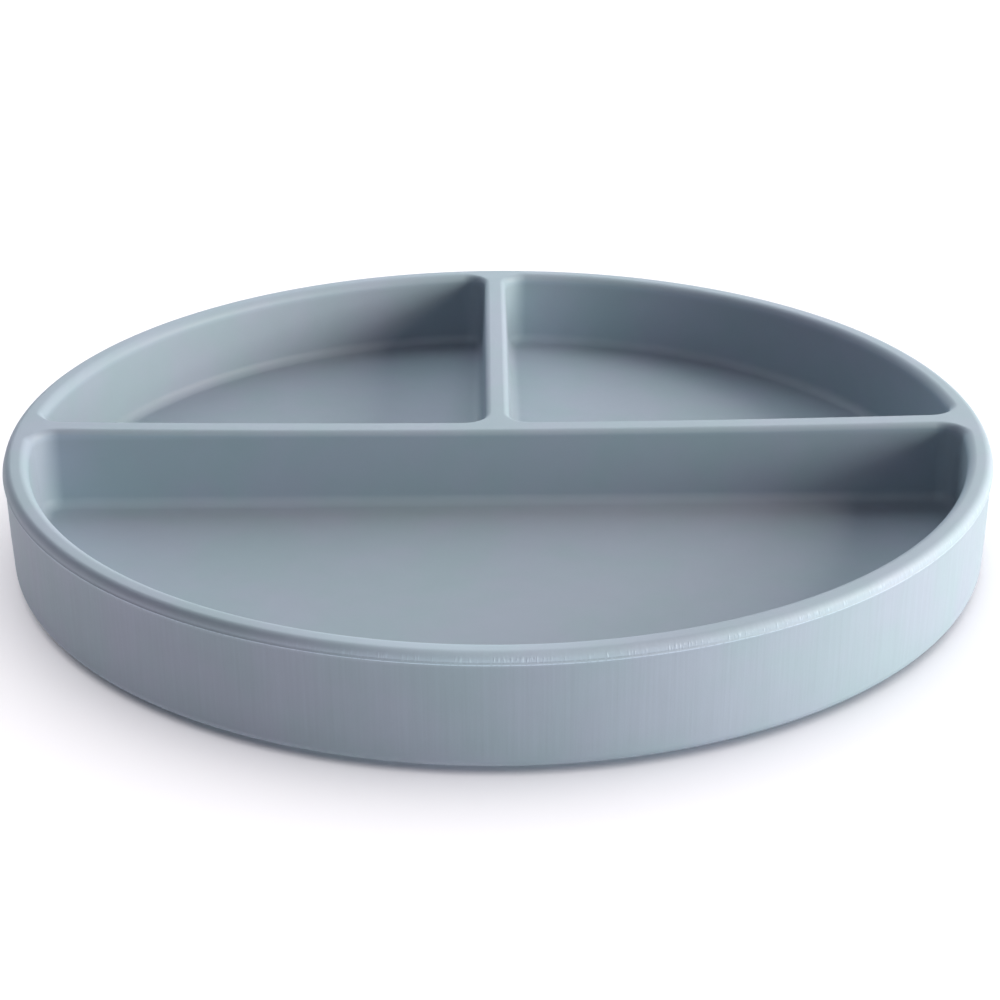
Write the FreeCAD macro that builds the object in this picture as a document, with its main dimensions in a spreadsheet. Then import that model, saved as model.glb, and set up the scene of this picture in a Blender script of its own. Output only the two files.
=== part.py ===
"""Divided suction plate for infant feeding: a moulded silicone tray with three wells, and the suction
base bonded under its floor.

Frame: +Z up, z = 0 is the table that the sealing lip stands on, the origin is the centre of the
plate's footprint, and -Y is the front, the side of the large half-moon well. All sizes in millimetres.
"""
import FreeCAD
import Part
import Sketcher
import math
import os

ORIGIN = FreeCAD.Vector(0, 0, 0)
UP = FreeCAD.Vector(0, 0, 1)
TOLERANCE = 0.01
CLEARLY_LESS = 1.0

# Driving dimensions: alias, value and what it measures.
SIZES = [
    ("rim_radius", 95.0, "outside radius of the rim band"),
    ("total_height", 22.5, "table to the top of the rim"),
    ("rim_band", 1.9, "rim top to the mould's parting line"),
    ("band_proud", 0.4, "how far the rim band stands out from the wall"),
    ("wall_draft", 0.2, "how much the outer wall narrows down to its foot"),
    ("foot_gap", 1.2, "table to the foot of the wall, before the plate is pressed down"),
    ("foot_width", 5.0, "width of the foot under the wall"),
    ("rim_width", 5.1, "rim's outside to the well wall, at the top"),
    ("well_depth", 15.95, "rim top to the floor of the wells"),
    ("well_draft", 3.0, "draft of the well walls in degrees"),
    ("floor_thickness", 2.05, "thickness under the wells"),
    ("cross_width", 5.3, "thickness of the cross divider at its top"),
    ("divider_width", 4.7, "thickness of the centre divider at its top"),
    ("cross_offset", 0.7, "centre line of the cross divider, behind the plate's centre"),
    ("corner_radius", 4.5, "plan radius of the wells' corners"),
    ("well_fillet", 2.2, "radius between a well's walls and its floor"),
    ("lip_rounding", 1.3, "rounding of the wells' top edges"),
    ("rim_rounding", 1.8, "rounding of the rim's outer top edge"),
    ("foot_rounding", 2.0, "rounding of the wall's outer bottom edge"),
    ("foot_inner_rounding", 0.8, "rounding of the foot's inner edge"),
    ("notch_width", 36.0, "width of the finger notch through the foot"),
    ("notch_reach", 8.5, "how far the finger notch runs in from the foot's outside"),
    ("notch_rounding", 2.0, "rounding of the notch's upper corners"),
    ("hub_radius", 42.0, "radius of the bonded hub"),
    ("hub_thickness", 1.6, "thickness of the bonded hub"),
    ("hub_rounding", 0.6, "rounding of the hub's lower edge"),
    ("hub_dish_radius", 34.0, "radius of the hub's shallow dish"),
    ("hub_dish_depth", 0.5, "depth of the hub's shallow dish"),
    ("skirt_thickness", 1.0, "thickness of the flexible skirt"),
    ("skirt_gap", 0.1, "clearance between the hub's edge and the skirt"),
    ("skirt_drop", 0.2, "underside of the floor to the skirt's upper edge"),
    ("seal_inner", 57.0, "inside radius of the sealing lip"),
    ("seal_outer", 61.0, "outside radius of the sealing lip"),
    ("seal_height", 1.5, "height of the sealing lip"),
    ("seal_rounding", 0.5, "rounding of the sealing lip's upper edges"),
    ("tab_width", 24.0, "width of the release tab"),
    ("tab_thickness", 1.6, "thickness of the release tab"),
    ("tab_lift", 0.3, "table to the underside of the release tab"),
    ("tab_hinge", 64.0, "plate's centre to the bend line of the release tab"),
    ("tab_end", 94.0, "plate's centre to the tip of the release tab"),
    ("tab_corner", 9.0, "plan radius of the tip's corners"),
    ("lug_gap", 0.2, "clearance between the lip's lug and the tab's rounded root"),
    ("lug_overlap", 3.0, "how far the lug runs in over the sealing lip"),
    ("rib_width", 1.2, "width of a grip rib on the release tab"),
    ("rib_height", 0.6, "height of a grip rib"),
    ("rib_pitch", 3.0, "distance from one grip rib to the next"),
    ("rib_inset", 4.0, "tip of the tab to the outermost grip rib"),
    ("rib_span", 16.0, "length of a grip rib across the tab"),
]
RIB_COUNT = 4

doc = FreeCAD.newDocument("suction_plate")
sheet = doc.addObject("Spreadsheet::Sheet", "Sizes")
for row, (alias, value, meaning) in enumerate(SIZES, start=1):
    sheet.set(f"A{row}", alias)
    sheet.set(f"B{row}", str(value))
    sheet.set(f"C{row}", meaning)
    sheet.setAlias(f"B{row}", alias)
scratch = doc.addObject("Spreadsheet::Sheet", "Scratch")
doc.recompute()


def size(alias):
    """The value of one driving dimension."""
    return float(sheet.get(alias))


def new_body(label):
    """An empty body whose label is also its node's name."""
    body = doc.addObject("PartDesign::Body", label)
    body.Label = label
    body.Placement = FreeCAD.Placement(ORIGIN, FreeCAD.Rotation(UP, 0))
    return body


def new_sketch(body, name, plane, offset=None):
    """A sketch on one of the body's own origin planes, raised along its normal by an expression."""
    sketch = body.newObject("Sketcher::SketchObject", name)
    support = next(item for item in body.Origin.OriginFeatures if item.Role == plane)
    sketch.AttachmentSupport = [(support, "")]
    sketch.MapMode = "FlatFace"
    if offset:
        sketch.setExpression(".AttachmentOffset.Base.z", offset)
    return sketch


def evaluate(expression):
    """The number that an expression on the sheet comes to now, worked out on a sheet of its own."""
    scratch.set("A1", "=" + expression)
    scratch.recompute()
    value = scratch.get("A1")
    return float(getattr(value, "Value", value))


def pin_point(sketch, geometry, end, across, along):
    """Hold one point of a sketch at a place given by two expressions."""
    for kind, expression in (("DistanceX", across), ("DistanceY", along)):
        number = evaluate(expression)
        if abs(number) < TOLERANCE:
            axis = -2 if kind == "DistanceX" else -1
            sketch.addConstraint(Sketcher.Constraint("PointOnObject", geometry, end, axis))
            continue
        index = sketch.addConstraint(Sketcher.Constraint(kind, -1, 1, geometry, end, number))
        sketch.setExpression(f"Constraints[{index}]", expression)


def draw_polygon(sketch, corners):
    """A closed outline of straight lines, each corner held by two expressions."""
    places = [FreeCAD.Vector(evaluate(across), evaluate(along), 0) for across, along in corners]
    first = sketch.GeometryCount
    count = len(places)
    for index, place in enumerate(places):
        sketch.addGeometry(Part.LineSegment(place, places[(index + 1) % count]), False)
    for index in range(count):
        following = first + (index + 1) % count
        sketch.addConstraint(Sketcher.Constraint("Coincident", first + index, 2, following, 1))
    for index, (across, along) in enumerate(corners):
        pin_point(sketch, first + index, 1, across, along)


def draw_well(sketch, start, finish, inner_corners):
    """A well's outline: an arc about the plate's centre, closed by lines through the inner corners.

    start and finish are the arc's ends as pairs of expressions, and the arc runs anticlockwise.
    """
    radius = "Sizes.rim_radius - Sizes.rim_width"
    ends = [FreeCAD.Vector(evaluate(across), evaluate(along), 0) for across, along in (start, finish)]
    angles = [math.atan2(place.y, place.x) for place in ends]
    circle = Part.Circle(ORIGIN, UP, evaluate(radius))
    arc = sketch.addGeometry(Part.ArcOfCircle(circle, angles[0], angles[1]), False)
    sketch.addConstraint(Sketcher.Constraint("Coincident", arc, 3, -1, 1))
    index = sketch.addConstraint(Sketcher.Constraint("Radius", arc, evaluate(radius)))
    sketch.setExpression(f"Constraints[{index}]", radius)

    inner = [FreeCAD.Vector(evaluate(across), evaluate(along), 0) for across, along in inner_corners]
    path = [ends[1]] + inner + [ends[0]]
    lines = []
    for here, there in zip(path, path[1:]):
        lines.append(sketch.addGeometry(Part.LineSegment(here, there), False))
    sketch.addConstraint(Sketcher.Constraint("Coincident", arc, 2, lines[0], 1))
    sketch.addConstraint(Sketcher.Constraint("Coincident", lines[-1], 2, arc, 1))
    for here, there in zip(lines, lines[1:]):
        sketch.addConstraint(Sketcher.Constraint("Coincident", here, 2, there, 1))
    for line, (across, along) in zip(lines, inner_corners):
        pin_point(sketch, line, 2, across, along)
    return arc, lines


def revolve(body, name, corners):
    """A full turn of a closed profile about the plate's axis."""
    sketch = new_sketch(body, name + "_profile", "XZ_Plane")
    draw_polygon(sketch, corners)
    feature = body.newObject("PartDesign::Revolution", name)
    feature.Profile = sketch
    feature.ReferenceAxis = (sketch, ["V_Axis"])
    feature.Angle = 360
    doc.recompute()
    return feature


def pocket(body, name, sketch, depth):
    """Cut a sketch into the body, and make sure that it takes material away."""
    before = body.Shape.Volume
    feature = body.newObject("PartDesign::Pocket", name)
    feature.Profile = sketch
    feature.setExpression("Length", depth)
    doc.recompute()
    if body.Shape.Volume > before - CLEARLY_LESS:
        feature.Reversed = True
        doc.recompute()
    if body.Shape.Volume > before - CLEARLY_LESS:
        raise RuntimeError(name + " cuts nothing")
    return feature


def edges_where(shape, test):
    """The names of the edges that pass a test on their bounding box and middle."""
    names = []
    for index, edge in enumerate(shape.Edges, start=1):
        if test(edge.BoundBox, edge.CenterOfMass, edge):
            names.append(f"Edge{index}")
    return names


def fillet(body, name, test, radius):
    """Round every edge of the body that passes the test."""
    base = body.Tip
    names = edges_where(base.Shape, test)
    if not names:
        raise RuntimeError(name + " finds no edges")
    feature = body.newObject("PartDesign::Fillet", name)
    feature.Base = (base, names)
    feature.setExpression("Radius", radius)
    doc.recompute()
    return feature


def lean_walls(body, name, test, neutral, angle):
    """Give the walls that pass the test a draft about a flat face, so that what they enclose narrows."""
    base = body.Tip
    before = base.Shape.Volume
    walls = [f"Face{index}" for index, face in enumerate(base.Shape.Faces, start=1) if test(face)]
    flat = next(f"Face{index}" for index, face in enumerate(base.Shape.Faces, start=1) if neutral(face))
    feature = body.newObject("PartDesign::Draft", name)
    feature.Base = (base, walls)
    feature.NeutralPlane = (base, [flat])
    feature.Reversed = True
    feature.setExpression("Angle", angle)
    doc.recompute()
    if feature.Shape.Volume < before:
        feature.Reversed = False
        doc.recompute()
    if feature.Shape.Volume < before:
        raise RuntimeError(name + " leans the wrong way")
    return feature


def lies_flat_at(box, height):
    """Whether an edge lies in the horizontal plane at this height."""
    return abs(box.ZMin - height) < TOLERANCE and abs(box.ZMax - height) < TOLERANCE


def is_circle_of(edge, radius):
    """Whether an edge is an arc of this radius."""
    curve = edge.Curve
    return isinstance(curve, Part.Circle) and abs(curve.Radius - radius) < TOLERANCE


TOP = size("total_height")
FLOOR_TOP = TOP - size("well_depth")
FLOOR_UNDER = FLOOR_TOP - size("floor_thickness")
UNDER = "Sizes.total_height - Sizes.well_depth - Sizes.floor_thickness"
WALL_RADIUS = "Sizes.rim_radius - Sizes.band_proud"
FOOT_RADIUS = "Sizes.rim_radius - Sizes.band_proud - Sizes.wall_draft"
PARTING = "Sizes.total_height - Sizes.rim_band"


def make_tray():
    """The tray: rim, wall, floor and dividers in one moulding."""
    body = new_body("tray")
    recess = f"{FOOT_RADIUS} - Sizes.foot_width"
    revolve(body, "blank", [
        ("0", UNDER),
        (recess, UNDER),
        (recess, "Sizes.foot_gap"),
        (FOOT_RADIUS, "Sizes.foot_gap"),
        (WALL_RADIUS, PARTING),
        ("Sizes.rim_radius", PARTING),
        ("Sizes.rim_radius", "Sizes.total_height"),
        ("0", "Sizes.total_height"),
    ])

    reach = "(Sizes.rim_radius - Sizes.rim_width)"
    front = "(Sizes.cross_offset - Sizes.cross_width / 2)"
    back = "(Sizes.cross_offset + Sizes.cross_width / 2)"
    side = "(Sizes.divider_width / 2)"
    front_end = f"sqrt({reach} ^ 2 - {front} ^ 2)"
    back_end = f"sqrt({reach} ^ 2 - {back} ^ 2)"
    side_end = f"sqrt({reach} ^ 2 - {side} ^ 2)"

    half_moon = new_sketch(body, "front_well_outline", "XY_Plane", "Sizes.total_height")
    arc, lines = draw_well(half_moon, (f"-{front_end}", front), (front_end, front), [])
    half_moon.addConstraint(Sketcher.Constraint("Horizontal", lines[0]))
    index = half_moon.addConstraint(
        Sketcher.Constraint("DistanceY", -1, 1, arc, 1, evaluate(front))
    )
    half_moon.setExpression(f"Constraints[{index}]", front)
    pocket(body, "front_well", half_moon, "Sizes.well_depth")

    quarter = new_sketch(body, "rear_well_outline", "XY_Plane", "Sizes.total_height")
    arc, lines = draw_well(quarter, (back_end, back), (side, side_end), [(side, back)])
    quarter.addConstraint(Sketcher.Constraint("Vertical", lines[0]))
    quarter.addConstraint(Sketcher.Constraint("Horizontal", lines[1]))
    rear_well = pocket(body, "rear_well", quarter, "Sizes.well_depth")

    mirrored = body.newObject("PartDesign::Mirrored", "rear_well_pair")
    mirrored.Originals = [rear_well]
    middle = next(item for item in body.Origin.OriginFeatures if item.Role == "YZ_Plane")
    mirrored.MirrorPlane = (middle, [""])
    body.Tip = mirrored
    doc.recompute()

    half_depth = size("well_depth") / 2
    inside_rim = size("rim_radius") - size("rim_width") / 2
    inside_foot = size("rim_radius") - size("foot_width") / 2
    lean_walls(body, "well_walls",
               lambda face: abs(face.BoundBox.ZMin - FLOOR_TOP) < TOLERANCE
               and face.BoundBox.ZLength > half_depth,
               lambda face: abs(face.BoundBox.ZMin - TOP) < TOLERANCE,
               "Sizes.well_draft")
    fillet(body, "well_corners", lambda box, middle, edge: box.ZLength > half_depth
           and math.hypot(middle.x, middle.y) < inside_rim
           and box.ZMin > FLOOR_UNDER,
           "Sizes.corner_radius")
    fillet(body, "well_feet", lambda box, middle, edge: lies_flat_at(box, FLOOR_TOP),
           "Sizes.well_fillet")
    fillet(body, "well_rims", lambda box, middle, edge: lies_flat_at(box, TOP)
           and not is_circle_of(edge, size("rim_radius")),
           "Sizes.lip_rounding")
    fillet(body, "rim_edge", lambda box, middle, edge: lies_flat_at(box, TOP)
           and is_circle_of(edge, size("rim_radius")),
           "Sizes.rim_rounding")
    fillet(body, "foot_edge", lambda box, middle, edge: lies_flat_at(box, size("foot_gap"))
           and box.XMax > inside_foot,
           "Sizes.foot_rounding")
    fillet(body, "foot_inner_edge", lambda box, middle, edge: lies_flat_at(box, size("foot_gap"))
           and box.XMax < inside_foot,
           "Sizes.foot_inner_rounding")

    arch = new_sketch(body, "notch_outline", "XZ_Plane", f"-({FOOT_RADIUS} - Sizes.notch_reach)")
    half = "(Sizes.notch_width / 2)"
    draw_polygon(arch, [
        (f"-{half}", "0"),
        (half, "0"),
        (half, UNDER),
        (f"-{half}", UNDER),
    ])
    pocket(body, "finger_notch", arch, "Sizes.notch_reach + Sizes.band_proud + Sizes.wall_draft")
    fillet(body, "notch_corners", lambda box, middle, edge: box.YLength > size("foot_width") / 2
           and abs(middle.z - FLOOR_UNDER) < TOLERANCE
           and abs(abs(middle.x) - size("notch_width") / 2) < TOLERANCE,
           "Sizes.notch_rounding")
    return body


def make_hub():
    """The hub: a disc bonded to the underside of the floor, which carries the skirt."""
    body = new_body("suction_hub")
    low = f"{UNDER} - Sizes.hub_thickness"
    dish = f"{UNDER} - Sizes.hub_thickness + Sizes.hub_dish_depth"
    revolve(body, "disc", [
        ("0", UNDER),
        ("0", dish),
        ("Sizes.hub_dish_radius - Sizes.hub_dish_depth", dish),
        ("Sizes.hub_dish_radius", low),
        ("Sizes.hub_radius", low),
        ("Sizes.hub_radius", UNDER),
    ])
    lowest = FLOOR_UNDER - size("hub_thickness")
    fillet(body, "disc_edge", lambda box, middle, edge: lies_flat_at(box, lowest)
           and is_circle_of(edge, size("hub_radius")),
           "Sizes.hub_rounding")
    return body


def make_skirt():
    """The skirt: a thin cone that flexes between the hub and the sealing lip."""
    body = new_body("suction_skirt")
    start = "Sizes.hub_radius + Sizes.skirt_gap"
    upper = f"{UNDER} - Sizes.skirt_drop"
    revolve(body, "cone", [
        (start, upper),
        (start, f"{upper} - Sizes.skirt_thickness"),
        ("Sizes.seal_inner", "(Sizes.seal_height - Sizes.skirt_thickness) / 2"),
        ("Sizes.seal_inner", "(Sizes.seal_height + Sizes.skirt_thickness) / 2"),
    ])
    return body


def make_lip():
    """The sealing lip: a ring with a flat land on the table, and the lug that the tab hangs on."""
    body = new_body("suction_lip")
    revolve(body, "ring", [
        ("Sizes.seal_inner", "0"),
        ("Sizes.seal_outer", "0"),
        ("Sizes.seal_outer", "Sizes.seal_height"),
        ("Sizes.seal_inner", "Sizes.seal_height"),
    ])
    fillet(body, "ring_edge", lambda box, middle, edge: lies_flat_at(box, size("seal_height"))
           and is_circle_of(edge, size("seal_outer")),
           "Sizes.seal_rounding")

    outline = new_sketch(body, "lug_outline", "XY_Plane", "Sizes.tab_lift")
    half = "(Sizes.tab_width / 2)"
    root = "Sizes.seal_outer - Sizes.lug_overlap"
    end = "Sizes.tab_hinge - Sizes.tab_thickness / 2 - Sizes.lug_gap"
    draw_polygon(outline, [
        (f"-{half}", root),
        (half, root),
        (half, end),
        (f"-{half}", end),
    ])
    lug = body.newObject("PartDesign::Pad", "lug")
    lug.Profile = outline
    lug.setExpression("Length", "Sizes.seal_height - Sizes.seal_rounding - Sizes.tab_lift")
    doc.recompute()
    return body


def make_tab():
    """The release tab: a tongue that peels the lip, with grip ribs near its tip."""
    body = new_body("release_tab")
    outline = new_sketch(body, "tongue_outline", "XY_Plane", "Sizes.tab_lift")
    half = "(Sizes.tab_width / 2)"
    root = "Sizes.tab_hinge - Sizes.tab_thickness / 2"
    draw_polygon(outline, [
        (f"-{half}", root),
        (half, root),
        (half, "Sizes.tab_end"),
        (f"-{half}", "Sizes.tab_end"),
    ])
    tongue = body.newObject("PartDesign::Pad", "tongue")
    tongue.Profile = outline
    tongue.setExpression("Length", "Sizes.tab_thickness")
    doc.recompute()
    tip = size("tab_end")
    start = size("tab_hinge") - size("tab_thickness") / 2
    fillet(body, "tip_corners", lambda box, middle, edge: box.ZLength > size("tab_thickness") / 2
           and abs(middle.y - tip) < TOLERANCE,
           "Sizes.tab_corner")
    fillet(body, "root_edge", lambda box, middle, edge: box.XLength > size("tab_width") / 2
           and abs(box.YMax - start) < TOLERANCE,
           f"Sizes.tab_thickness / 2 - {TOLERANCE}")

    rib_outline = new_sketch(body, "rib_outline", "XY_Plane", "Sizes.tab_lift + Sizes.tab_thickness")
    reach = "(Sizes.rib_span / 2)"
    outer = "Sizes.tab_end - Sizes.rib_inset"
    draw_polygon(rib_outline, [
        (f"-{reach}", f"{outer} - Sizes.rib_width"),
        (reach, f"{outer} - Sizes.rib_width"),
        (reach, outer),
        (f"-{reach}", outer),
    ])
    rib = body.newObject("PartDesign::Pad", "grip_rib")
    rib.Profile = rib_outline
    rib.setExpression("Length", "Sizes.rib_height")
    doc.recompute()

    ribs = body.newObject("PartDesign::LinearPattern", "grip_ribs")
    ribs.Originals = [rib]
    ribs.Direction = (rib_outline, ["V_Axis"])
    ribs.Reversed = True
    ribs.setExpression("Length", f"Sizes.rib_pitch * {RIB_COUNT - 1}")
    ribs.Occurrences = RIB_COUNT
    body.Tip = ribs
    doc.recompute()
    return body


bodies = [make_tray(), make_hub(), make_skirt(), make_lip(), make_tab()]
doc.removeObject(scratch.Name)
doc.recompute()

for item in doc.Objects:
    if "Invalid" in item.State or "Error" in item.State:
        raise RuntimeError(f"{item.Label} failed: {item.State}")
for body in bodies:
    if body.Shape.isNull() or not body.Shape.isValid():
        raise RuntimeError(body.Label + " has no valid shape")

os.makedirs("parts", exist_ok=True)
for body in bodies:
    body.Shape.exportStep(f"parts/{body.Label}.step")
    box = body.Shape.BoundBox
    print(f"{body.Label}: {len(body.Shape.Solids)} solid, {body.Shape.Volume / 1000:.2f} cm3, "
          f"z {box.ZMin:.2f} to {box.ZMax:.2f}, y {box.YMin:.2f} to {box.YMax:.2f}")
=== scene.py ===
# %% [markdown]
# A divided suction plate for a toddler: one soft silicone moulding with a large half-moon well in front
# and two quarter wells behind, and a suction base bonded under its floor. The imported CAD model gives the
# sizes and the bodies that move. Everything seen here is modelled over it with Blender's own mesh tools,
# so that the roundings, the parting line and the skin of the silicone are right up close.

# %% Load the frame
import math

import bmesh
import bpy
from mathutils import Matrix, Vector


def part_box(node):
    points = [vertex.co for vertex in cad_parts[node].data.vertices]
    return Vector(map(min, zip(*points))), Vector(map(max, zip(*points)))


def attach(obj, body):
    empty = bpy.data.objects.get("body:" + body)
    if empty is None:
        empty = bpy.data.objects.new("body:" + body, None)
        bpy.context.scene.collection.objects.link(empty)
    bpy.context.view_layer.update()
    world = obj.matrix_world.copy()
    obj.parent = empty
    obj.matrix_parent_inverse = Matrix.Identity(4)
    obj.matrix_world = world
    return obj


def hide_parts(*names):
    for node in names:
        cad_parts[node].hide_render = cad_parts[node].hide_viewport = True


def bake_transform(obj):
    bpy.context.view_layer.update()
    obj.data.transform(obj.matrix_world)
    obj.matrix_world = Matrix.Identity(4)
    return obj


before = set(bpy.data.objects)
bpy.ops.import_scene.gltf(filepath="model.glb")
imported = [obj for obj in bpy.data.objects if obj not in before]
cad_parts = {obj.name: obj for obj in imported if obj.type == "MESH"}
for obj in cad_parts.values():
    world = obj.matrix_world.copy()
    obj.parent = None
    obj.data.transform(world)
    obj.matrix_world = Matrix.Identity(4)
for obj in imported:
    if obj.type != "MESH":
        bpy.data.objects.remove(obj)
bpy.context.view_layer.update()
bpy.context.scene.view_settings.view_transform = "Standard"

# %% [markdown]
# Sizes come in two kinds. Those that must agree with the CAD are read from its boxes: the outside
# height, the heights of the suction base and the outlines of the hub, the lip and the tab. The rest are
# the plate's own proportions, in millimetres: a moulder would find them on the drawing of the tool.

# %% Sizes
MM = 0.001

tray_low, tray_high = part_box("tray")
hub_low, hub_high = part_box("suction_hub")
_, lip_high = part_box("suction_lip")
tab_low, tab_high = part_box("release_tab")

RIM_RADIUS = 95.0 * MM
RIM_TOP = tray_high.z
FOOT = tray_low.z
FLOOR_UNDER = hub_high.z

RIM_BAND = 1.9 * MM
BAND_PROUD = 0.3 * MM
WALL_RADIUS = RIM_RADIUS - BAND_PROUD
FOOT_RADIUS = WALL_RADIUS - 0.3 * MM
FOOT_WIDTH = 5.0 * MM
WELL_RADIUS = RIM_RADIUS - 4.8 * MM
WELL_DEPTH = 15.95 * MM
WELL_DRAFT = math.radians(3.0)
EDGE_ROUNDING = 1.25 * MM
WELL_FILLET = 2.2 * MM
CORNER_RADIUS = 4.5 * MM
CROSS_CENTRE = 0.7 * MM
CROSS_HALF = 5.3 / 2 * MM
DIVIDER_HALF = 4.7 / 2 * MM

AROUND = 320
WELD_DISTANCE = 0.002 * MM
SMOOTH_DEGREES = 35
SOFTEN_ANGLE = math.radians(40)
print("rim radius", RIM_RADIUS, "rim top", round(RIM_TOP, 5), "floor underside", round(FLOOR_UNDER, 5))

# %% [markdown]
# A handful of helpers stand in for the mouse. One starts a piece as a single vertex, and one lays down
# an outline from straight moves and spins, the way a draughtsman draws lines and arcs. Others weld, join,
# smooth and measure a piece, because a skin that is closed and turned outwards is what a slicer, a
# Boolean and a renderer all ask for.

# %% Hand tools
X_AXIS, Y_AXIS, Z_AXIS = (Vector((1, 0, 0)), Vector((0, 1, 0)), Vector((0, 0, 1)))


def select_nothing():
    """Drop the selection, and leave edit mode first if it is on."""
    if bpy.context.object and bpy.context.object.mode != "OBJECT":
        bpy.ops.object.mode_set(mode="OBJECT")
    bpy.ops.object.select_all(action="DESELECT")


def take(piece):
    """Make one piece the selected and active object."""
    select_nothing()
    piece.select_set(True)
    bpy.context.view_layer.objects.active = piece
    return piece


def start_point(name, place):
    """A new piece that is one selected vertex at this place, left in edit mode."""
    select_nothing()
    bpy.ops.mesh.primitive_plane_add(size=1 * MM, location=(0, 0, 0))
    piece = bpy.context.object
    piece.name = name
    bpy.ops.object.mode_set(mode="EDIT")
    bpy.ops.mesh.select_all(action="SELECT")
    bpy.ops.mesh.merge(type="CENTER")
    bpy.ops.transform.translate(value=place)
    return piece


def line_to(here, there, steps=1):
    """Draw a straight line of edges from the selected vertex."""
    for _ in range(steps):
        stride = (Vector(there) - Vector(here)) / steps
        bpy.ops.mesh.extrude_vertices_move(TRANSFORM_OT_translate={"value": stride})
    return Vector(there)


def arc_about(here, centre, axis, angle, steps):
    """Draw an arc of edges from the selected vertex, right-handed about the axis."""
    bpy.ops.mesh.spin(steps=steps, angle=abs(angle), center=centre, axis=-axis * math.copysign(1, angle))
    return Vector(centre) + Matrix.Rotation(angle, 3, axis) @ (Vector(here) - Vector(centre))


def draw(name, start, moves, straight_steps=1):
    """A piece that is one line of edges: each move is a place to go to, or the numbers of an arc."""
    piece = start_point(name, start)
    here = Vector(start)
    for move in moves:
        if len(move) == 3:
            here = line_to(here, move, straight_steps)
        else:
            here = arc_about(here, *move)
    return piece


def weld(distance=WELD_DISTANCE):
    """Merge the doubles of the piece in edit mode and turn its faces outwards."""
    bpy.ops.mesh.select_all(action="SELECT")
    bpy.ops.mesh.remove_doubles(threshold=distance)
    bpy.ops.mesh.normals_make_consistent(inside=False)


def join(pieces, name):
    """Several pieces joined into one."""
    select_nothing()
    for piece in pieces:
        piece.select_set(True)
    bpy.context.view_layer.objects.active = pieces[0]
    bpy.ops.object.join()
    joined = bpy.context.object
    joined.name = name
    joined.data.name = name
    return joined


def apply_modifier(piece, kind, **settings):
    """Add a modifier with these settings and apply it at once."""
    take(piece)
    modifier = piece.modifiers.new(kind.lower(), kind)
    for key, value in settings.items():
        setattr(modifier, key, value)
    bpy.ops.object.modifier_apply(modifier=modifier.name)
    return piece


def smooth(piece):
    """Smooth shading that keeps its flats flat: large faces decide the normals beside them."""
    take(piece)
    bpy.ops.object.shade_smooth_by_angle(angle=math.radians(SMOOTH_DEGREES))
    return apply_modifier(piece, "WEIGHTED_NORMAL", mode="FACE_AREA", weight=50, keep_sharp=True)


def open_edge_count(piece):
    """How many edges of a piece don't have a face on each side."""
    edit = bmesh.new()
    edit.from_mesh(piece.data)
    count = sum(1 for edge in edit.edges if len(edge.link_faces) != 2)
    edit.free()
    return count


def volume(piece):
    """The volume that a closed piece encloses, in cubic centimetres: negative if it is inside out."""
    edit = bmesh.new()
    edit.from_mesh(piece.data)
    cubic = edit.calc_volume(signed=True) * 1e6
    edit.free()
    return round(cubic, 2)


def report(piece):
    """Print what a piece has come to."""
    loose = sum(1 for edge in piece.data.edges if edge.is_loose)
    print(piece.name, len(piece.data.polygons), "faces", loose, "loose edges",
          [round(value * 1000, 1) for value in piece.dimensions])


def report_closed(piece):
    """Print whether a piece is a closed skin, and what it encloses."""
    report(piece)
    print(piece.name, "open edges", open_edge_count(piece), "volume", volume(piece), "cm3")


# %% [markdown]
# The outline of a well is two or three sides with a round corner between each two. The half-moon
# well is the part of the plate's inner circle in front of the cross divider, and each quarter well is
# the part behind it and to one side of the centre divider. Where a corner meets the circle, its own
# centre follows from one right triangle, so every arc runs smoothly into the next. Spinning a vertex
# is exact, and a bisected circle with bevelled corners would not be tangent.

# %% Well outlines
OUT = EDGE_ROUNDING
ARC_REACH = WELL_RADIUS + OUT
CORNER = CORNER_RADIUS + OUT
CORNER_STEPS = 14
STRAIGHT_STEPS = 16


def corner_on_circle(offset):
    """How far along a line at this offset a corner's centre lies, where the line meets the circle."""
    return math.sqrt((ARC_REACH - CORNER) ** 2 - offset ** 2)


def arc_steps(angle):
    """Enough steps for an arc about the plate's centre."""
    return max(3, round(AROUND * abs(angle) / math.tau))


def draw_half_moon(name):
    """The front well's outline at the rim top."""
    edge = CROSS_CENTRE - CROSS_HALF + OUT
    side = corner_on_circle(edge - CORNER)
    turn = math.atan2(edge - CORNER, side)
    left = Vector((-side, edge - CORNER, RIM_TOP))
    right = Vector((side, edge - CORNER, RIM_TOP))
    start = Vector((-math.cos(turn), math.sin(turn), 0)) * ARC_REACH + Vector((0, 0, RIM_TOP))
    sweep = math.pi + 2 * turn
    return draw(name, start, [
        ((0, 0, RIM_TOP), Z_AXIS, sweep, arc_steps(sweep)),
        (right, Z_AXIS, math.pi / 2 - turn, CORNER_STEPS),
        (left.x, edge, RIM_TOP),
        (left, Z_AXIS, math.pi / 2 - turn, CORNER_STEPS),
    ], STRAIGHT_STEPS)


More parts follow.
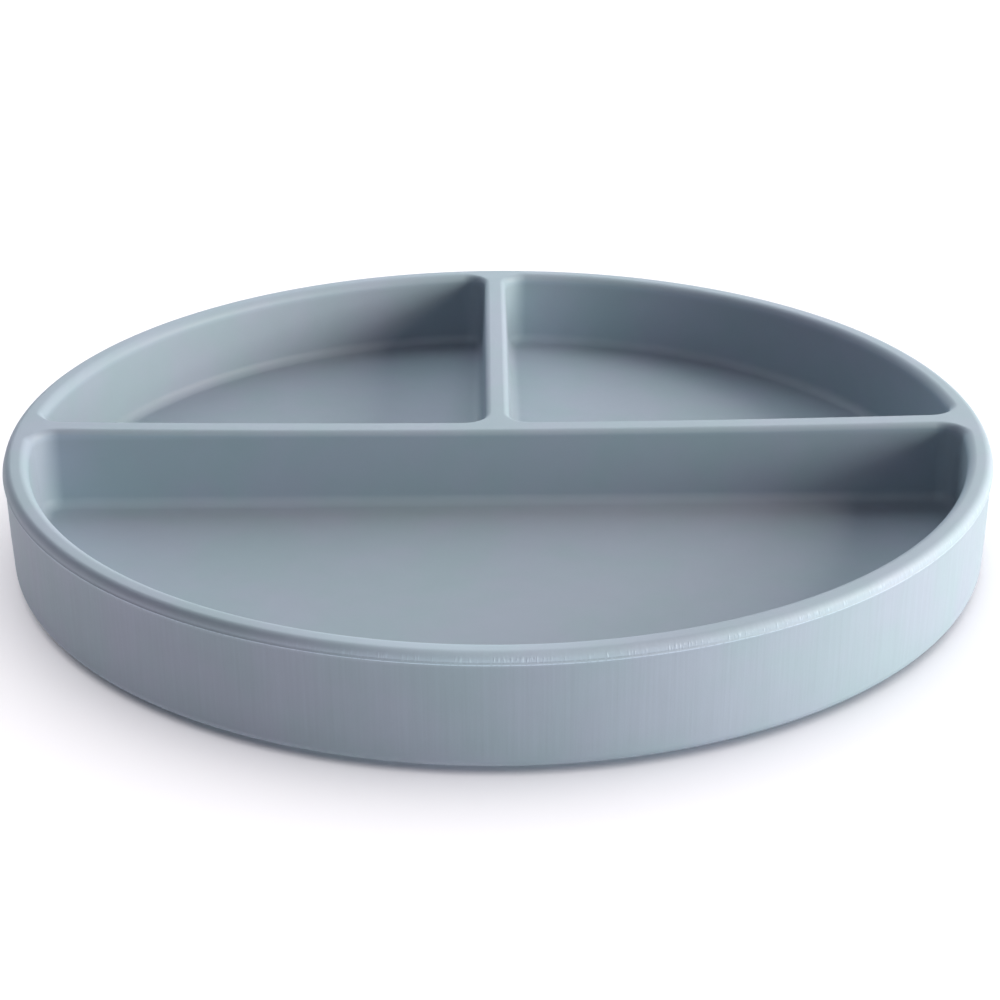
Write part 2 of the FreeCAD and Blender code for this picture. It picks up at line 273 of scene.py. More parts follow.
def draw_quarter(name):
    """The right rear well's outline at the rim top."""
    edge = CROSS_CENTRE + CROSS_HALF - OUT
    side = DIVIDER_HALF - OUT
    low = Vector((corner_on_circle(edge + CORNER), edge + CORNER, RIM_TOP))
    high = Vector((side + CORNER, corner_on_circle(side + CORNER), RIM_TOP))
    inner = Vector((side + CORNER, edge + CORNER, RIM_TOP))
    first = math.atan2(low.y, low.x)
    last = math.atan2(high.y, high.x)
    start = Vector((math.cos(first), math.sin(first), 0)) * ARC_REACH + Vector((0, 0, RIM_TOP))
    return draw(name, start, [
        ((0, 0, RIM_TOP), Z_AXIS, last - first, arc_steps(last - first)),
        (high, Z_AXIS, math.pi - last, CORNER_STEPS),
        (side, inner.y, RIM_TOP),
        (inner, Z_AXIS, math.pi / 2, CORNER_STEPS),
        (low.x, edge, RIM_TOP),
        (low, Z_AXIS, math.pi / 2 + first, CORNER_STEPS),
    ], STRAIGHT_STEPS)


# %% [markdown]
# A well is sunk from its outline by a run of insets. An inset moves every edge inwards by the same
# distance and can push the face down at the same time, so a rounded edge is a few short insets whose
# width and depth follow a quarter circle, the wall is one long inset at its draft, and the fillet at
# the foot is a quarter circle again. The corner radii shrink as they do on a real mould core.

# %% Sink a well
ROUNDING_STEPS = 8
WALL_ROWS = 4
FLOOR_EDGE = 0.5 * MM


def inset_run(points):
    """Inset the selected face from point to point of a profile of (inwards, downwards) distances."""
    for (inwards, down), (next_inwards, next_down) in zip(points, points[1:]):
        bpy.ops.mesh.inset(thickness=next_inwards - inwards, depth=-(next_down - down),
                           use_even_offset=True, use_boundary=True)


def well_profile():
    """The well's section from the rim top down to its floor."""
    points = [(0, 0)]
    lean = math.pi / 2 - WELL_DRAFT
    for step in range(1, ROUNDING_STEPS + 1):
        angle = lean * step / ROUNDING_STEPS
        points.append((OUT * math.sin(angle), OUT * (1 - math.cos(angle))))
    inwards, down = points[-1]
    foot_drop = WELL_FILLET * (1 - math.cos(lean))
    wall_drop = WELL_DEPTH - foot_drop - down
    for row in range(1, WALL_ROWS + 1):
        drop = wall_drop * row / WALL_ROWS
        points.append((inwards + drop * math.tan(WELL_DRAFT), down + drop))
    inwards, down = points[-1]
    for step in range(1, ROUNDING_STEPS + 1):
        angle = lean * (1 - step / ROUNDING_STEPS)
        across = WELL_FILLET * (math.sin(lean) - math.sin(angle))
        points.append((inwards + across, WELL_DEPTH - WELL_FILLET * (1 - math.cos(angle))))
    return points


def sink(outline):
    """Fill an outline and sink it to the well's floor."""
    bpy.ops.mesh.select_all(action="SELECT")
    bpy.ops.mesh.remove_doubles(threshold=WELD_DISTANCE)
    bpy.ops.mesh.edge_face_add()
    edit = bmesh.from_edit_mesh(outline.data)
    for face in edit.faces:
        if face.normal.z < 0:
            face.normal_flip()
    bmesh.update_edit_mesh(outline.data)
    inset_run(well_profile())
    bpy.ops.mesh.inset(thickness=FLOOR_EDGE, depth=0)
    bpy.ops.object.mode_set(mode="OBJECT")
    report(outline)
    return outline


def mirrored(piece, name):
    """A copy of a piece with its own mesh, mirrored to the plate's other side."""
    copy = piece.copy()
    copy.data = piece.data.copy()
    copy.name = name
    bpy.context.collection.objects.link(copy)
    take(copy)
    bpy.ops.object.mode_set(mode="EDIT")
    bpy.ops.mesh.select_all(action="SELECT")
    bpy.ops.transform.resize(value=(-1, 1, 1), center_override=(0, 0, 0))
    bpy.ops.mesh.flip_normals()
    bpy.ops.object.mode_set(mode="OBJECT")
    return copy


front_well = sink(draw_half_moon("front_well"))
right_well = sink(draw_quarter("right_well"))
left_well = mirrored(right_well, "left_well")

# %% [markdown]
# The outside of the tray is a turned shape: rim rounding, a thin flash bead at the mould's parting
# line, the wall, the foot and the recess under the floor. Its profile is drawn once, as a line of
# edges in the plane of X and Z, and spun a full turn. The wall leans in a little more the lower it gets,
# and that lean is held by two rings on it, each an inset and a drop from the parting line.

# %% Turn the outside
RIM_ROUND = 1.6 * MM
FOOT_ROUND = 2.0 * MM
FOOT_INNER_ROUND = 0.8 * MM
RECESS_ROUND = 1.5 * MM
FLAT_RADIUS = RIM_RADIUS - BAND_PROUD / 2 - RIM_ROUND
PARTING = RIM_TOP - RIM_BAND
BEAD_HEIGHT = 0.2 * MM
BEAD_STEP = 0.06 * MM
BAND_RUN_OUT = 0.9 * MM
RECESS_RADIUS = FOOT_RADIUS - FOOT_WIDTH
UPPER_WALL = (0.05 * MM, 5 * MM)
LOWER_WALL = (0.12 * MM, 11 * MM)
UNDERSIDE_RINGS = (60 * MM, 20 * MM)


def turn_profile(piece, steps=AROUND):
    """Spin the drawn profile a full turn about the plate's axis and close it."""
    bpy.ops.mesh.select_all(action="SELECT")
    bpy.ops.mesh.spin(steps=steps, angle=math.tau, center=(0, 0, 0), axis=-Z_AXIS)
    weld()
    bpy.ops.object.mode_set(mode="OBJECT")
    return piece


def draw_outside():
    """The tray's outer profile, from the rim's flat to the middle of the underside."""
    quarter = math.pi / 2
    start = (FLAT_RADIUS, 0, RIM_TOP)
    band_foot = PARTING + BEAD_HEIGHT / 2
    return draw("outside", start, [
        ((FLAT_RADIUS, 0, RIM_TOP - RIM_ROUND), Y_AXIS, quarter, 10),
        (RIM_RADIUS, 0, band_foot),
        (RIM_RADIUS, 0, PARTING),
        (RIM_RADIUS - BEAD_STEP, 0, PARTING - BEAD_HEIGHT / 2),
        (WALL_RADIUS, 0, PARTING - BAND_RUN_OUT),
        (WALL_RADIUS - UPPER_WALL[0], 0, PARTING - UPPER_WALL[1]),
        (WALL_RADIUS - LOWER_WALL[0], 0, PARTING - LOWER_WALL[1]),
        (FOOT_RADIUS, 0, FOOT + FOOT_ROUND),
        ((FOOT_RADIUS - FOOT_ROUND, 0, FOOT + FOOT_ROUND), Y_AXIS, quarter, 8),
        (RECESS_RADIUS + FOOT_INNER_ROUND, 0, FOOT),
        ((RECESS_RADIUS + FOOT_INNER_ROUND, 0, FOOT + FOOT_INNER_ROUND), Y_AXIS, quarter, 5),
        (RECESS_RADIUS, 0, FLOOR_UNDER - RECESS_ROUND),
        ((RECESS_RADIUS - RECESS_ROUND, 0, FLOOR_UNDER - RECESS_ROUND), Y_AXIS, -quarter, 6),
        *[(ring, 0, FLOOR_UNDER) for ring in UNDERSIDE_RINGS],
        (0, 0, FLOOR_UNDER),
    ])


outside = turn_profile(draw_outside())
report(outside)

# %% [markdown]
# The top of the rim and of the dividers is one flat sheet with three holes. Its boundary is the circle
# where the rim's rounding starts and the three well outlines. A fill between those loops closes it, and
# a face drawn by hand across so many edges would not find its own way round the holes.

# %% Close the top
def draw_rim_circle():
    """The circle where the rim's outer rounding starts."""
    piece = start_point("rim_circle", (FLAT_RADIUS, 0, RIM_TOP))
    bpy.ops.mesh.spin(steps=AROUND, angle=math.tau, center=(0, 0, RIM_TOP), axis=-Z_AXIS)
    return piece


def welded_outline(piece):
    """Weld the outline in edit mode and go back to object mode."""
    bpy.ops.mesh.select_all(action="SELECT")
    bpy.ops.mesh.remove_doubles(threshold=WELD_DISTANCE)
    bpy.ops.object.mode_set(mode="OBJECT")
    return piece


quarter_outline = welded_outline(draw_quarter("quarter_outline"))
top = join([
    welded_outline(draw_rim_circle()),
    welded_outline(draw_half_moon("half_moon_outline")),
    quarter_outline,
    mirrored(quarter_outline, "quarter_outline_left"),
], "top")
bpy.ops.object.mode_set(mode="EDIT")
bpy.ops.mesh.select_all(action="SELECT")
bpy.ops.mesh.fill(use_beauty=True)
bpy.ops.object.mode_set(mode="OBJECT")
report(top)

# %% [markdown]
# Two things are easier to shape on the finished skin than to draw. The rim is rounder on its inside than
# the dividers are, so the rounding is widened where a vertex is near the rim. The thin dividers sag a
# little, so their tops dip by a millimetre towards the middle. Then the pieces are welded, and the tray
# is one closed skin, as the moulding is.

# %% Shape the top and weld the tray
RIM_INNER_ROUND = 1.8 * MM
DIVIDER_DIP = 1.0 * MM
EASE = 3 * MM
RIM_SLACK = OUT / 10
SKIN_WELD = 0.01 * MM


def shape_top(piece):
    """Widen the rounding along the rim's inside, and let the dividers dip towards the plate's centre."""
    growth = RIM_INNER_ROUND / OUT - 1
    for vertex in piece.data.vertices:
        reach = math.hypot(vertex.co.x, vertex.co.y)
        depth = RIM_TOP - vertex.co.z
        if reach > ARC_REACH + RIM_SLACK or depth > WELL_DEPTH:
            continue
        if depth < OUT:
            near_rim = min(1, max(0, (reach - WELL_RADIUS + EASE) / EASE))
            depth *= 1 + growth * near_rim ** 2 * (3 - 2 * near_rim)
        if reach > WELL_RADIUS:
            vertex.co.xy *= (reach + growth * (reach - WELL_RADIUS)) / reach
        share = max(0, 1 - (reach / WELL_RADIUS) ** 2)
        vertex.co.z = RIM_TOP - depth - DIVIDER_DIP * share * (1 - depth / WELL_DEPTH)


tray = join([outside, top, front_well, right_well, left_well], "tray_shell")
shape_top(tray)
bpy.ops.object.mode_set(mode="EDIT")
weld(SKIN_WELD)
bpy.ops.object.mode_set(mode="OBJECT")
report_closed(tray)

# %% [markdown]
# The finger notch is cut last, through the foot at the back, where the release tab lies. On a finished
# closed skin a Boolean with a rounded cutter does it in one cut, as a pin in the mould would. The cutter
# reaches a little above the underside, because a Boolean is unsure where two faces lie in one plane.

# %% Cut the finger notch
NOTCH_HALF = 18 * MM
NOTCH_ROUND = 2 * MM
NOTCH_REACH = 8.5 * MM
NOTCH_RISE = 0.3 * MM
NOTCH_STEPS = 6


def block(name, low, high):
    """A box between two corners, left in edit mode with all of it selected."""
    select_nothing()
    low, high = (Vector(low), Vector(high))
    bpy.ops.mesh.primitive_cube_add(size=1, location=(0, 0, 0))
    piece = bpy.context.object
    piece.name = name
    piece.data.name = name
    bpy.ops.object.mode_set(mode="EDIT")
    bpy.ops.mesh.select_all(action="SELECT")
    bpy.ops.transform.resize(value=high - low)
    bpy.ops.transform.translate(value=(low + high) / 2)
    return piece


def bevel_edges(piece, wanted, width, segments):
    """Bevel the edges of the piece in edit mode whose middle and direction pass a test."""
    bpy.ops.mesh.select_all(action="DESELECT")
    bpy.ops.mesh.select_mode(type="EDGE")
    edit = bmesh.from_edit_mesh(piece.data)
    for edge in edit.edges:
        ends = [vertex.co for vertex in edge.verts]
        edge.select_set(bool(wanted((ends[0] + ends[1]) / 2, ends[1] - ends[0])))
    bmesh.update_edit_mesh(piece.data)
    bpy.ops.mesh.bevel(offset=width, segments=segments, affect="EDGES")
    bpy.ops.mesh.select_mode(type="VERT")


notch_cutter = block("notch_cutter", (-NOTCH_HALF, FOOT_RADIUS - NOTCH_REACH, -FLOOR_UNDER),
                     (NOTCH_HALF, FOOT_RADIUS + NOTCH_REACH, FLOOR_UNDER + NOTCH_RISE))
bevel_edges(notch_cutter, lambda middle, run: middle.z > 0 and abs(run.y) > NOTCH_REACH,
            NOTCH_ROUND, NOTCH_STEPS)
bpy.ops.object.mode_set(mode="OBJECT")
report_closed(notch_cutter)
apply_modifier(tray, "BOOLEAN", operation="DIFFERENCE", object=notch_cutter, solver="MANIFOLD")
bpy.data.objects.remove(notch_cutter)
smooth(tray)
report_closed(tray)
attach(tray, "plate")
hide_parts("tray")

# %% [markdown]
# The suction base is a second moulding, bonded under the floor. Its middle is a stiff hub with a shallow
# dish, which leaves room for the air that the plate presses out. It is turned like the outside of the
# tray. The small recessed dot in its middle is what the gate of the mould leaves on every such part.

# %% Turn the hub
HUB_RADIUS = hub_high.x
HUB_ROUND = 0.6 * MM
DISH_RADIUS = 34 * MM
DISH_RISE = 0.5 * MM
DISH_RAMP = 3 * MM
GATE_RADIUS = 1.6 * MM
GATE_RISE = 0.25 * MM


def finish_turned(name, start, moves):
    """A turned piece from its profile, smooth and checked."""
    piece = turn_profile(draw(name, start, moves))
    piece.data.name = name
    smooth(piece)
    report_closed(piece)
    return piece


ramp_turn = 2 * math.atan2(DISH_RISE, DISH_RAMP)
ramp_radius = DISH_RAMP / 2 / math.sin(ramp_turn)
hub_foot = hub_low.z
dish_roof = hub_foot + DISH_RISE
hub = finish_turned("hub_disc", (0, 0, FLOOR_UNDER), [
    (HUB_RADIUS, 0, FLOOR_UNDER),
    (HUB_RADIUS, 0, hub_foot + HUB_ROUND),
    ((HUB_RADIUS - HUB_ROUND, 0, hub_foot + HUB_ROUND), Y_AXIS, math.pi / 2, 6),
    (DISH_RADIUS, 0, hub_foot),
    ((DISH_RADIUS, 0, hub_foot + ramp_radius), Y_AXIS, ramp_turn, 5),
    ((DISH_RADIUS - DISH_RAMP, 0, dish_roof - ramp_radius), Y_AXIS, -ramp_turn, 5),
    (GATE_RADIUS + GATE_RISE, 0, dish_roof),
    (GATE_RADIUS, 0, dish_roof + GATE_RISE),
    (GATE_RADIUS / 2, 0, dish_roof + GATE_RISE),
    (GATE_RADIUS / 4, 0, dish_roof + GATE_RISE / 2),
    (0, 0, dish_roof + GATE_RISE / 2),
])
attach(hub, "plate")
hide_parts("suction_hub")

# %% [markdown]
# The skirt is the thin cone between hub and lip: it is what bends when the plate is pressed down. A real
# skirt isn't straight but cambered a little, so that it always bends the same way, and a sine lays that
# camber on the cone. It reaches a little into the hub and the lip, as one rubber does. It crosses the
# joint between plate and lip.

# %% Turn the skirt
SKIRT_THICK = 1.0 * MM
SKIRT_CAMBER = 0.35 * MM
SKIRT_ROWS = 10
SKIRT_OVERLAP = 0.5 * MM
skirt_low, skirt_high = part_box("suction_skirt")
SKIRT_HALF = SKIRT_THICK / 2
skirt_top = Vector((HUB_RADIUS - SKIRT_OVERLAP, 0, skirt_high.z - SKIRT_HALF))
skirt_foot = Vector((skirt_high.x + SKIRT_OVERLAP, 0, skirt_low.z + SKIRT_HALF))


def skirt_point(share, side):
    """A point of the skirt's section: share runs down the cone, side is its upper or lower face."""
    place = skirt_top.lerp(skirt_foot, share)
    camber = SKIRT_CAMBER * math.sin(math.pi * share)
    return place + Vector((0, 0, side * SKIRT_HALF + camber))


skirt_shares = [row / SKIRT_ROWS for row in range(SKIRT_ROWS + 1)]
skirt_path = [skirt_point(share, 1) for share in skirt_shares]
skirt_path += [skirt_point(share, -1) for share in reversed(skirt_shares)]
skirt = finish_turned("skirt_cone", skirt_path[0], skirt_path[1:] + skirt_path[:1])
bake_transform(skirt)
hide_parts("suction_skirt")

# %% [markdown]
# The sealing lip stands on the table. Its land is flat, with two fine grooves that break the film of
# water and hold the vacuum if a crumb lies under one land. The ring is turned, and the lug that carries
# the release tab is a rounded block, made one with the ring by a Boolean.

# %% Turn the lip and add its lug
SEAL_INNER = skirt_high.x
SEAL_OUTER = 61 * MM
SEAL_TOP = lip_high.z
SEAL_ROUND = 0.5 * MM
SEAL_EDGE = 0.15 * MM
GROOVE_RADIUS = 0.2 * MM
LUG_HALF = 12 * MM
LUG_LOW = 0.3 * MM
LUG_HIGH = 1.0 * MM
LUG_ROUND = 0.15 * MM
LUG_STEPS = 3
LUG_OVERLAP = 3 * MM


def groove(middle):
    """The moves that lay a groove of half-round section on the land, going inwards."""
    return [
        (middle + GROOVE_RADIUS, 0, 0),
        ((middle, 0, 0), Y_AXIS, -math.pi, 6),
    ]


groove_gap = (SEAL_OUTER - SEAL_INNER) / 3
lip = finish_turned("lip_ring", (SEAL_INNER, 0, SEAL_TOP), [
    (SEAL_OUTER - SEAL_ROUND, 0, SEAL_TOP),
    ((SEAL_OUTER - SEAL_ROUND, 0, SEAL_TOP - SEAL_ROUND), Y_AXIS, math.pi / 2, 6),
    (SEAL_OUTER, 0, SEAL_EDGE),
    ((SEAL_OUTER - SEAL_EDGE, 0, SEAL_EDGE), Y_AXIS, math.pi / 2, 3),
    *groove(SEAL_OUTER - groove_gap),
    *groove(SEAL_INNER + groove_gap),
    (SEAL_INNER + SEAL_EDGE, 0, 0),
    ((SEAL_INNER + SEAL_EDGE, 0, SEAL_EDGE), Y_AXIS, math.pi / 2, 3),
    (SEAL_INNER, 0, SEAL_TOP),
])

lug = block("lug", (-LUG_HALF, SEAL_OUTER - LUG_OVERLAP, LUG_LOW), (LUG_HALF, lip_high.y, LUG_HIGH))
bevel_edges(lug, lambda middle, run: middle.y > SEAL_OUTER, LUG_ROUND, LUG_STEPS)
bpy.ops.object.mode_set(mode="OBJECT")
apply_modifier(lip, "BOOLEAN", operation="UNION", object=lug, solver="MANIFOLD")
bpy.data.objects.remove(lug)
smooth(lip)
report_closed(lip)
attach(lip, "sealing_lip")
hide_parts("suction_lip")

# %% [markdown]
# The release tab is the tongue that a finger finds in the notch. It starts as a block: its tip is
# rounded in plan, its root is rounded to a nose about the bend line, and all other edges are softened.
# The grip ribs are four copies of one rounded bar, made one with the tongue by a Boolean.

# %% Model the release tab
TAB_CORNER = 9 * MM
TIP_STEPS = 16
TAB_SOFT = 0.35 * MM
TAB_THICK = 1.6 * MM
RIB_SPAN = 16 * MM
RIB_WIDTH = 1.2 * MM
RIB_PITCH = 3 * MM
RIB_INSET = 4 * MM
RIB_COUNT = 4
RIB_SOFT = 0.4 * MM
RIB_STEPS = 4
NOSE_REACH = 0.1 * MM
NOSE_FLAT = 0.01 * MM
NOSE_STEPS = 8
tab_face = tab_low.z + TAB_THICK
tab_middle = (tab_low.y + tab_high.y) / 2

tab = block("tab_tongue", tab_low, (tab_high.x, tab_high.y, tab_face))
bevel_edges(tab, lambda middle, run: middle.y > tab_middle and abs(run.z) > TAB_THICK / 2,
            TAB_CORNER, TIP_STEPS)
bevel_edges(tab, lambda middle, run: middle.y < tab_low.y + NOSE_REACH and abs(run.x) > TAB_CORNER,
            TAB_THICK / 2 - NOSE_FLAT, NOSE_STEPS)
bpy.ops.object.mode_set(mode="OBJECT")
apply_modifier(tab, "BEVEL", width=TAB_SOFT, segments=3, limit_method="ANGLE",
               angle_limit=SOFTEN_ANGLE)

first_rib = tab_high.y - RIB_INSET - RIB_WIDTH
rib = block("rib", (-RIB_SPAN / 2, first_rib, tab_face - TAB_THICK / 2),
            (RIB_SPAN / 2, first_rib + RIB_WIDTH, tab_high.z))
bevel_edges(rib, lambda middle, run: middle.z > tab_face or abs(run.z) > TAB_THICK / 2,
            RIB_SOFT, RIB_STEPS)
bpy.ops.object.mode_set(mode="OBJECT")
ribs = [rib]
for index in range(1, RIB_COUNT):
    copy = rib.copy()
    copy.data = rib.data.copy()
    bpy.context.collection.objects.link(copy)
    copy.data.transform(Matrix.Translation((0, -RIB_PITCH * index, 0)))
    ribs.append(copy)
ribs = join(ribs, "ribs")
apply_modifier(tab, "BOOLEAN", operation="UNION", object=ribs, solver="MANIFOLD")
bpy.data.objects.remove(ribs)
smooth(tab)
report_closed(tab)
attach(tab, "pull_tab")
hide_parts("release_tab")

# %% [markdown]
# A living hinge joins the tab to the lug: the rubber is thin there, so it bends in that place and in no
# other. It is a short strip cut across into rows, so that there is something to bend.

# %% Add the living hinge
HINGE_LINE = 64 * MM
HINGE_HALF = 11.4 * MM
HINGE_THICK = 0.45 * MM
HINGE_ROWS = 8
HINGE_SOFT = 0.08 * MM
hinge_start = lip_high.y - 0.6 * MM
hinge_end = HINGE_LINE + 0.4 * MM
hinge_low = LUG_LOW + 0.12 * MM

hinge = block("tab_hinge", (-HINGE_HALF, hinge_start, hinge_low),
              (HINGE_HALF, hinge_end, hinge_low + HINGE_THICK))
for row in range(1, HINGE_ROWS):
    bpy.ops.mesh.select_all(action="SELECT")
    bpy.ops.mesh.bisect(plane_co=(0, hinge_start + (hinge_end - hinge_start) * row / HINGE_ROWS, 0),
                        plane_no=Y_AXIS)
bpy.ops.object.mode_set(mode="OBJECT")
apply_modifier(hinge, "BEVEL", width=HINGE_SOFT, segments=2, limit_method="ANGLE",
               angle_limit=SOFTEN_ANGLE)
smooth(hinge)
report_closed(hinge)
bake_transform(hinge)

# %% [markdown]
# Materials are written as sums. A small class wraps an output socket, so that an expression such as
# 1 - mask adds its Math nodes by itself, and one method adds every other kind of node. Patterns follow
# the object's own coordinates in metres, so a grain of half a millimetre is written as such.

# %% Socket arithmetic
class Signal:
    """One output socket in a material. Arithmetic on it adds Math nodes."""

    def __init__(self, paint, socket):
        self.paint = paint
        self.socket = socket

    def maths(self, operation, first, second):
        return self.paint.node("ShaderNodeMath", {"operation": operation}, {0: first, 1: second})

    def __add__(self, other):
        return self.maths("ADD", self, other)

    def __radd__(self, other):
        return self.maths("ADD", other, self)

    def __sub__(self, other):
        return self.maths("SUBTRACT", self, other)

    def __rsub__(self, other):
        return self.maths("SUBTRACT", other, self)

    def __mul__(self, other):
        return self.maths("MULTIPLY", self, other)

    def __rmul__(self, other):
        return self.maths("MULTIPLY", other, self)

    def __truediv__(self, other):
        return self.maths("DIVIDE", self, other)

    def __pow__(self, other):
        return self.maths("POWER", self, other)

    def rises(self, low, high):
        """0 below low, 1 above high and a soft step between them."""
        return self.paint.node("ShaderNodeMapRange", {"interpolation_type": "SMOOTHSTEP"},
                               {"Value": self, "From Min": low, "From Max": high})

    def near(self, middle, reach):
        """1 at the middle value, falling softly to 0 at this reach on both sides."""
        return self.rises(middle - reach, middle) * (1 - self.rises(middle, middle + reach))

    def other(self, name):
        """Another output of the same node."""
        return Signal(self.paint, self.socket.node.outputs[name])


class Wiring:
    """A node tree, and one method that adds any node to it."""

    def __init__(self, tree):
        self.tree = tree

    def plug(self, socket, value):
        """Set a socket to a value, or link it to a signal."""
        if isinstance(value, Signal):
            self.tree.links.new(value.socket, socket)
        else:
            socket.default_value = value

    def node(self, kind, settings, inputs, output=0):
        """Add a node of a type, with its settings first and then its sockets' values or links."""
        made = self.tree.nodes.new(kind)
        for key, value in settings.items():
            setattr(made, key, value)
        for key, value in inputs.items():
            self.plug(made.inputs[key], value)
        return Signal(self, made.outputs[output])


class Paint(Wiring):
    """A new material's nodes, round its shader."""

    def __init__(self, name):
        self.material = bpy.data.materials.new(name)
        self.material.use_nodes = True
        super().__init__(self.material.node_tree)
        self.shader = self.tree.nodes["Principled BSDF"]

    def noise(self, place, grain, detail=2.0, roughness=0.5):
        """Noise whose lumps are about this grain across."""
        return self.node("ShaderNodeTexNoise", {}, {"Vector": place, "Scale": 1 / grain,
                                                    "Detail": detail, "Roughness": roughness})

    def blend(self, share, first, second):
        """A colour between two colours."""
        return self.node("ShaderNodeMix", {"data_type": "RGBA"}, {0: share, 6: first, 7: second}, 2)

    def finish(self, piece_list, **sockets):
        """Plug the shader's sockets and give the material to the pieces."""
        for name, value in sockets.items():
            self.plug(self.shader.inputs[name.replace("_", " ")], value)
        for piece in piece_list:
            piece.data.materials.clear()
            piece.data.materials.append(self.material)
        print(self.material.name, len(self.tree.nodes), "nodes on", len(piece_list), "pieces")


# %% [markdown]
# Moulded silicone is dull because the steel of the mould was blasted with fine beads: the skin has a
# grain far under a millimetre. The pigment isn't mixed evenly, so the slate blue drifts between a
# greener and a more violet grey over a centimetre or two. The outer wall keeps the fine upright marks of
# the tool that cut the mould. The rim's shoulder keeps nicks where the flash was trimmed by hand. The
# front of the rim is painted pale, partly as wear where the plate is held and wiped and partly as a
# painted sheen, and the flat tops are painted lighter as painted light. The parting line is lightened as
# a painted highlight, and a thin dark line is drawn over it at the front.

# %% Tray silicone
TRAY_GREENER = (0.352, 0.450, 0.502, 1)
TRAY_VIOLET = (0.378, 0.442, 0.522, 1)
DRIFT_RANGE = (0.3, 0.7)
REFRACTION = 1.41

OUTSIDE_FACE = (93.2 * MM, 93.8 * MM)
BAND_FACE = (94.5 * MM, 94.8 * MM)
DARK_LINE_FACE = (94.3 * MM, 94.6 * MM)
ABOVE_PARTING = (PARTING - 0.15 * MM, PARTING + 0.05 * MM)
ABOVE_FOOT = (2.0 * MM, 5.0 * MM)
SHOULDER = (FLAT_RADIUS + 0.3 * MM, FLAT_RADIUS + 1.0 * MM)
SEAM_REACH = 0.2 * MM
NICK_HEIGHT, NICK_REACH = (RIM_TOP - 1.1 * MM, 0.7 * MM)
DARK_LINE_HEIGHT, DARK_LINE_REACH = (PARTING + 0.35 * MM, 0.18 * MM)
# Heights over which the flat tops are painted lighter, as painted light.
TOP_LIGHT_BAND = (RIM_TOP - 2.6 * MM, RIM_TOP - 1.2 * MM)
FRONT = (85 * MM, 94 * MM)
FRONT_RIGHT_SLANT = 1.6
FRONT_RIGHT = (90 * MM, 150 * MM)
# Where the front of the rim is painted pale: partly wear, partly a painted sheen.
WEAR_AND_SHEEN_MIDDLE, WEAR_AND_SHEEN_REACH = (-8 * MM, 40 * MM)
WEAR_AND_SHEEN_FRONT = (70 * MM, 85 * MM)


def radius_and_height(paint, place):
    """The parts of a place: x, y, height, distance from the axis, and the direction straight outwards."""
    x = paint.node("ShaderNodeSeparateXYZ", {}, {"Vector": place}, "X")
    y = x.other("Y")
    z = x.other("Z")
    radius = (x * x + y * y) ** 0.5
    outwards = paint.node("ShaderNodeCombineXYZ", {}, {"X": x / radius, "Y": y / radius})
    return x, y, z, radius, outwards


def at_rim(paint, outwards, z, stretch):
    """Coordinates along the rim in metres, with the height squeezed so that a grain stands upright."""
    place = paint.node("ShaderNodeVectorMath", {"operation": "SCALE"}, {0: outwards, "Scale": RIM_RADIUS})
    lift = paint.node("ShaderNodeCombineXYZ", {}, {"Z": z / stretch})
    return paint.node("ShaderNodeVectorMath", {"operation": "ADD"}, {0: place, 1: lift})


